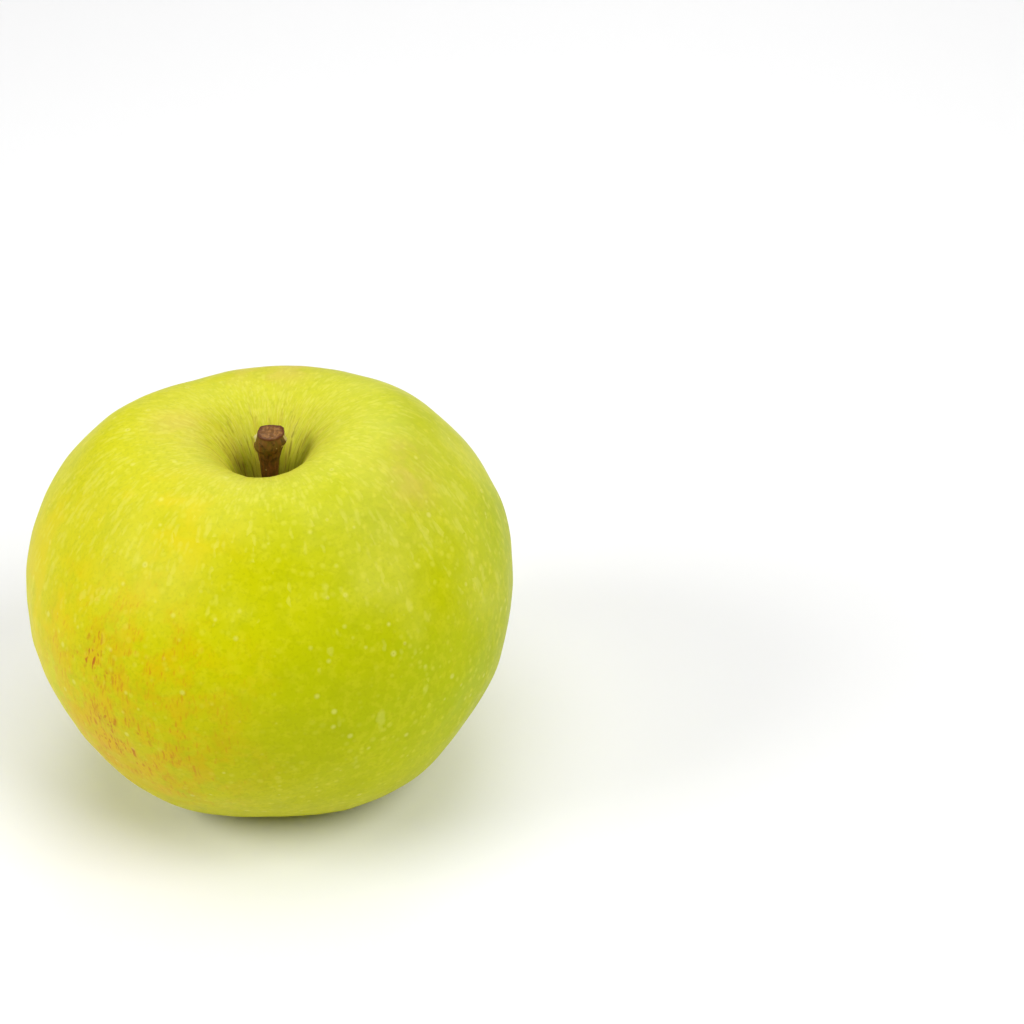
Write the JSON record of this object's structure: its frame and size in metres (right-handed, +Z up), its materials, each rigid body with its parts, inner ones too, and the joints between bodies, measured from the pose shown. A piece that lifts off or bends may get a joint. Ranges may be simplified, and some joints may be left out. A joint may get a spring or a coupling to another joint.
{
  "type": "apple",
  "caption": "Large round green-yellow apple with a deep stalk cavity, a short knobbed woody stalk and a dry calyx in the basin underneath.",
  "frame": {"origin": "on the standing surface, under the middle of the fruit's bounding box", "axes": "+Z up along the core towards the stalk, -Y towards the side that carries the front of the blush, which lies towards -X and -Y"},
  "size_m": [0.0844, 0.0844, 0.0684],
  "materials": {
    "fruit_skin": "satin",
    "stalk_bark": "satin",
    "dry_sepal": "matte",
    "dry_stamen": "matte"
  },
  "bodies": {
    "root": {"fruit": "fruit_skin", "stalk": "stalk_bark", "sepal_1": "dry_sepal", "sepal_2": "dry_sepal", "sepal_3": "dry_sepal", "sepal_4": "dry_sepal", "sepal_5": "dry_sepal", "stamens": "dry_stamen"}
  },
  "joints": []
}
